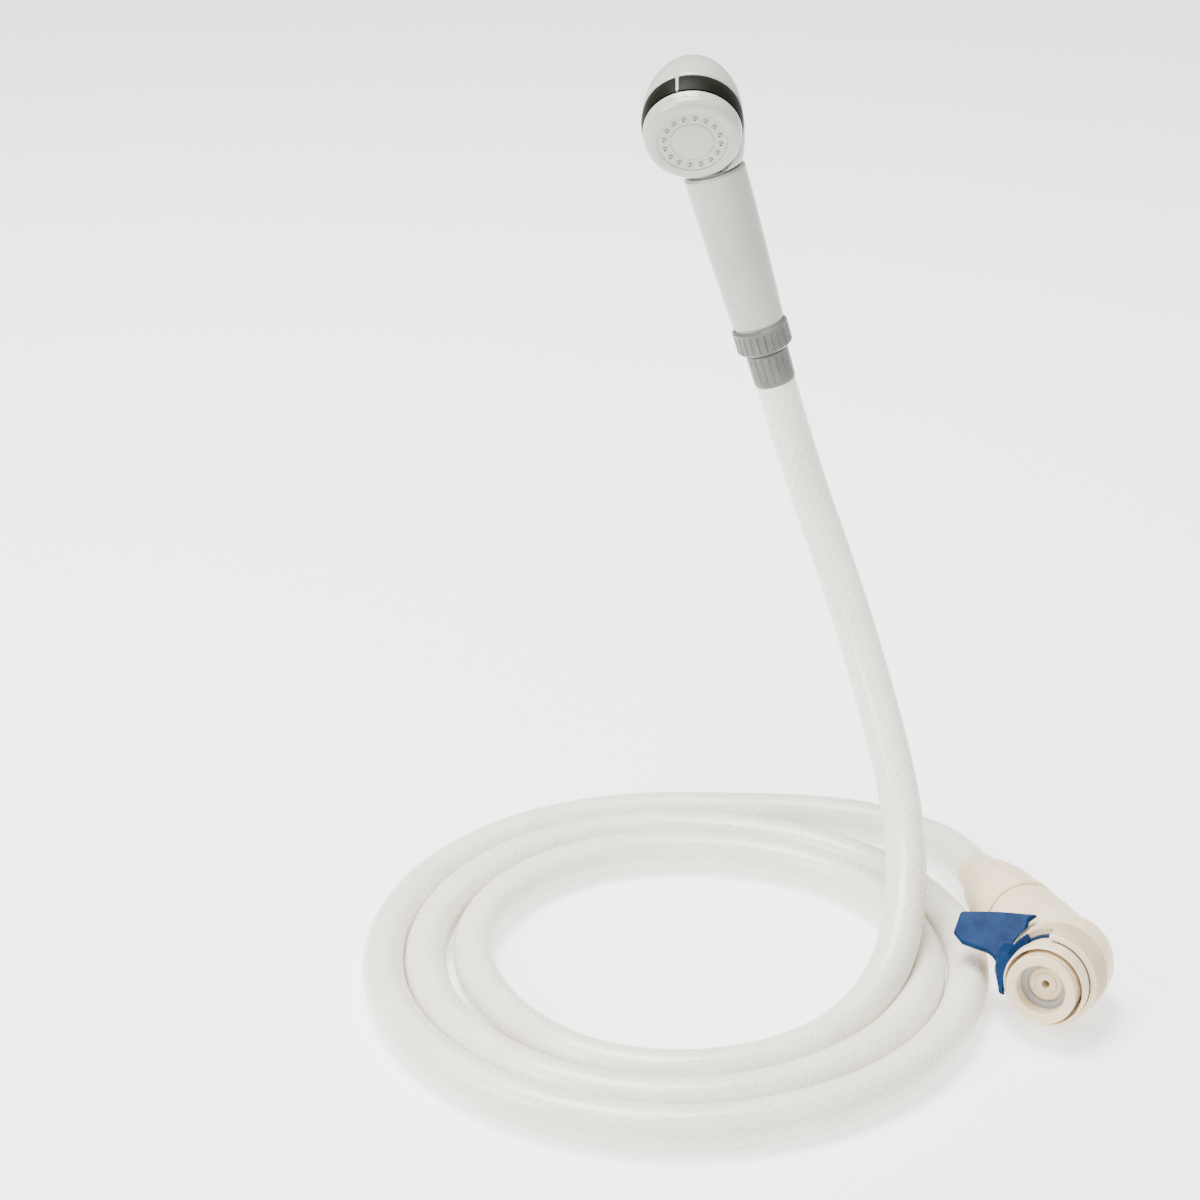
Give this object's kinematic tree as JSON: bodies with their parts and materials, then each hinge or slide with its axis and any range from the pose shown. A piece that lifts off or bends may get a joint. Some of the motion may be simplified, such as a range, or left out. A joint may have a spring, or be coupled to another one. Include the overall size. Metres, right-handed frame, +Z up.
{
  "type": "handheld bath sprayer",
  "caption": "Handheld pet bath sprayer: small shower head on a straight handle, long vinyl hose in a floor coil, quick coupler with a release lever.",
  "frame": {"origin": "middle of the handle's grip, on the handle's axis", "axes": "+Z up, the floor under the coil is at z = -0.2685 m; the handle leans 17 degrees towards -X; the spray face looks towards -Y, turned 9 degrees towards -X and down"},
  "size_m": [0.3001, 0.2796, 0.3449],
  "materials": {
    "white_plastic": "gloss",
    "black_plastic": "satin",
    "grey_clear_plastic": "translucent satin",
    "cream_plastic": "gloss",
    "blue_plastic": "satin",
    "vinyl_hose": "glossy translucent",
    "silicone": "matte",
    "dark_rubber": "matte",
    "steel": "brushed",
    "inner_plastic": "matte"
  },
  "bodies": {
    "root": {"handle_shell": "white_plastic", "water_tube": "inner_plastic", "neck_seal": "silicone", "hose_tail": "inner_plastic", "hose_ferrule": "grey_clear_plastic", "inlet_washer": "dark_rubber", "inlet_screen": "steel", "rear_housing": "white_plastic", "accent_band": "black_plastic", "flow_chamber": "inner_plastic", "face_seal": "dark_rubber", "flow_distributor": "inner_plastic", "centre_screw": "steel", "hose_riser": "vinyl_hose", "hose_coil": "vinyl_hose", "hose_lead": "vinyl_hose", "elbow_body": "cream_plastic", "grip_collar": "cream_plastic", "lever_spring": "steel", "collar_rim": "cream_plastic", "mouth_sleeve": "cream_plastic", "socket_seal": "silicone", "valve_guide": "inner_plastic", "valve_spring": "steel", "housing_sleeve": "cream_plastic", "coupler_tail": "inner_plastic", "tail_seal": "dark_rubber", "hose_gland": "cream_plastic"},
    "spray_face": {"face_ring": "white_plastic", "nozzle_plate": "white_plastic", "nozzle_mat": "silicone", "centre_cap": "white_plastic"},
    "union_nut": {"hose_nut": "grey_clear_plastic"},
    "lever": {"release_lever": "blue_plastic"},
    "jaw_left": {"latch_jaw_left": "inner_plastic"},
    "jaw_right": {"latch_jaw_right": "inner_plastic"},
    "valve": {"valve_plate": "cream_plastic"}
  },
  "joints": [
    {"name": "spray_face_turn", "type": "hinge", "parent": "root", "child": "spray_face", "pos_m": [-0.01932, -0.01952, 0.04742], "axis": [0.0292, 0.9158, 0.4006], "range_deg": [-36, 36]},
    {"name": "union_nut_turn", "type": "hinge", "parent": "root", "child": "union_nut", "pos_m": [0.01199, 0, -0.03921], "axis": [-0.2924, 0, 0.9563], "continuous": true},
    {"name": "release_lever_turn", "type": "hinge", "parent": "root", "child": "lever", "pos_m": [0.12062, -0.16972, -0.24584], "axis": [0.4637, 0.8721, -0.1564], "range_deg": [0, 30], "stiffness_Nm_per_rad": 0.05},
    {"name": "jaw_left_slide", "type": "slide", "parent": "root", "child": "jaw_left", "axis": [-0.8829, 0.4695, 0], "range_m": [0, 0.0005]},
    {"name": "jaw_right_slide", "type": "slide", "parent": "root", "child": "jaw_right", "axis": [0.8829, -0.4695, 0], "range_m": [0, 0.0005]},
    {"name": "valve_press", "type": "slide", "parent": "root", "child": "valve", "axis": [0.4637, 0.8721, -0.1564], "range_m": [0, 0.002], "stiffness_N_per_m": 400}
  ],
  "couplings": [
    {"joint": "jaw_left_slide", "follows": "release_lever_turn", "m_per_rad": 0.00095397},
    {"joint": "jaw_right_slide", "follows": "release_lever_turn", "m_per_rad": 0.00095397}
  ]
}
